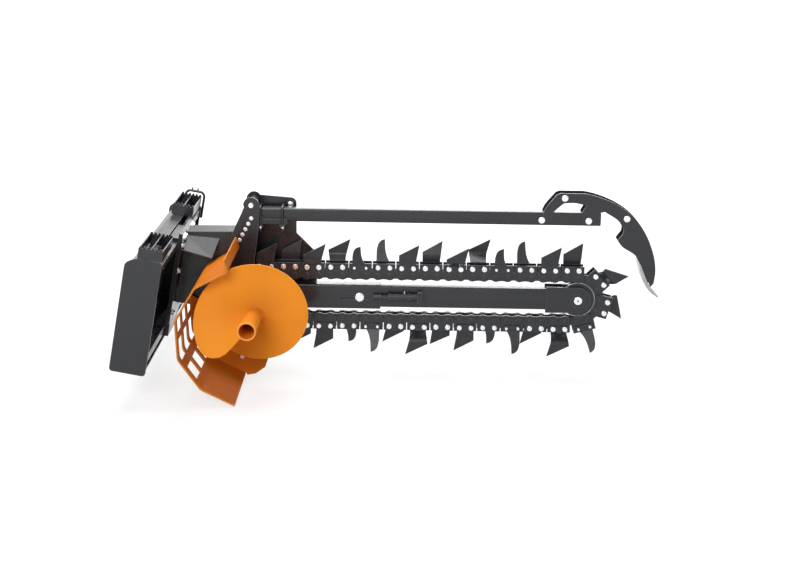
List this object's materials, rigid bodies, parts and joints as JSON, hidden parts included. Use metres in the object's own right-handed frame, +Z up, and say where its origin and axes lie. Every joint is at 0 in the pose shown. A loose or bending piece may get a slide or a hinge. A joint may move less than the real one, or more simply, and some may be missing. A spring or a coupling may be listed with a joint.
{
  "type": "trencher attachment",
  "caption": "Side-shift chain trencher attachment: leaning coupler frame, boom with digging chain, spoil auger with guard, crumber arm and shoe.",
  "frame": {"origin": "middle of the coupler face that meets the machine's mounting plate", "axes": "+X forwards along the boom to its nose, +Z up with the boom level, Y across the machine; the coupler face leans 10 degrees towards +X at its top"},
  "size_m": [2.268, 1.141, 0.816],
  "materials": {
    "charcoal_coat": "glossy charcoal powder coat",
    "orange_coat": "satin orange powder coat",
    "zinc_plate": "bright zinc-plated fasteners and shafts",
    "chain_steel": "black-coated hardened steel, satin",
    "worn_steel": "bare steel polished by soil"
  },
  "bodies": {
    "hitch": {"cheek_near": "charcoal_coat", "cheek_far": "charcoal_coat", "coupler_plate": "charcoal_coat", "lock_flange": "charcoal_coat", "rail_upper": "charcoal_coat", "rail_lower": "charcoal_coat", "top_plate": "charcoal_coat", "rib_near_outer": "charcoal_coat", "rib_near_inner": "charcoal_coat", "rib_far_outer": "charcoal_coat", "rib_far_inner": "charcoal_coat", "step_near": "charcoal_coat", "step_far": "charcoal_coat", "hose_guide": "charcoal_coat"},
    "carriage": {"carriage_plate": "charcoal_coat", "clamp_upper": "charcoal_coat", "clamp_lower": "charcoal_coat", "pedestal": "charcoal_coat", "gusset_near": "charcoal_coat", "gusset_far": "charcoal_coat", "mast_plate_near": "charcoal_coat", "mast_plate_far": "charcoal_coat", "mast_spacer": "charcoal_coat", "sleeve_bracket": "charcoal_coat", "pivot_pin": "zinc_plate", "pivot_spacer_near": "charcoal_coat", "pivot_spacer_far": "charcoal_coat", "lock_bolt": "zinc_plate", "bearing_housing": "charcoal_coat", "drive_motor": "charcoal_coat", "motor_port_1": "zinc_plate", "motor_port_2": "zinc_plate", "spoil_guard": "orange_coat", "guard_end_plate": "orange_coat", "boom_sleeve": "charcoal_coat", "tensioner_rod": "zinc_plate"},
    "head_shaft": {"head_shaft": "zinc_plate", "head_sprocket": "chain_steel", "auger_tube": "orange_coat", "auger_flight": "orange_coat"},
    "boom": {"boom_bar": "charcoal_coat", "slot_bolt": "zinc_plate", "tensioner_cylinder": "charcoal_coat", "tensioner_anchor": "charcoal_coat", "fork_plate_near": "charcoal_coat", "fork_plate_far": "charcoal_coat", "idler_axle": "zinc_plate", "chain_section_01": "chain_steel", "chain_section_02": "chain_steel", "chain_section_03": "chain_steel"},
    "idler": {"idler_wheel": "worn_steel"},
    "crumber_saddle": {"crumber_saddle": "charcoal_coat", "u_bolt_rear": "zinc_plate", "u_bolt_front": "zinc_plate"},
    "crumber_arm": {"crumber_bar": "charcoal_coat", "shoe_plate_near": "charcoal_coat", "shoe_plate_far": "charcoal_coat", "shoe_spacer_rear": "charcoal_coat", "shoe_spacer_front": "charcoal_coat", "crumber_blade": "worn_steel"}
  },
  "joints": [
    {"name": "side_shift", "type": "slide", "parent": "hitch", "child": "carriage", "axis": [0, 1, 0], "range_m": [-0.25, 0.25]},
    {"name": "head_shaft_spin", "type": "hinge", "parent": "carriage", "child": "head_shaft", "pos_m": [0.468, 0, -0.052], "axis": [0, 1, 0], "continuous": true},
    {"name": "boom_takeup", "type": "slide", "parent": "carriage", "child": "boom", "axis": [1, 0, 0], "range_m": [-0.03, 0]},
    {"name": "idler_spin", "type": "hinge", "parent": "boom", "child": "idler", "pos_m": [1.8396, 0, -0.052], "axis": [0, 1, 0], "continuous": true},
    {"name": "crumber_swing", "type": "hinge", "parent": "carriage", "child": "crumber_saddle", "pos_m": [0.438, 0, 0.352], "axis": [0, -1, 0], "range_deg": [0, 95]},
    {"name": "crumber_reach", "type": "slide", "parent": "crumber_saddle", "child": "crumber_arm", "axis": [1, 0, 0], "range_m": [-0.03, 0.1]}
  ],
  "couplings": [
    {"joint": "idler_spin", "follows": "head_shaft_spin", "ratio": 1}
  ]
}
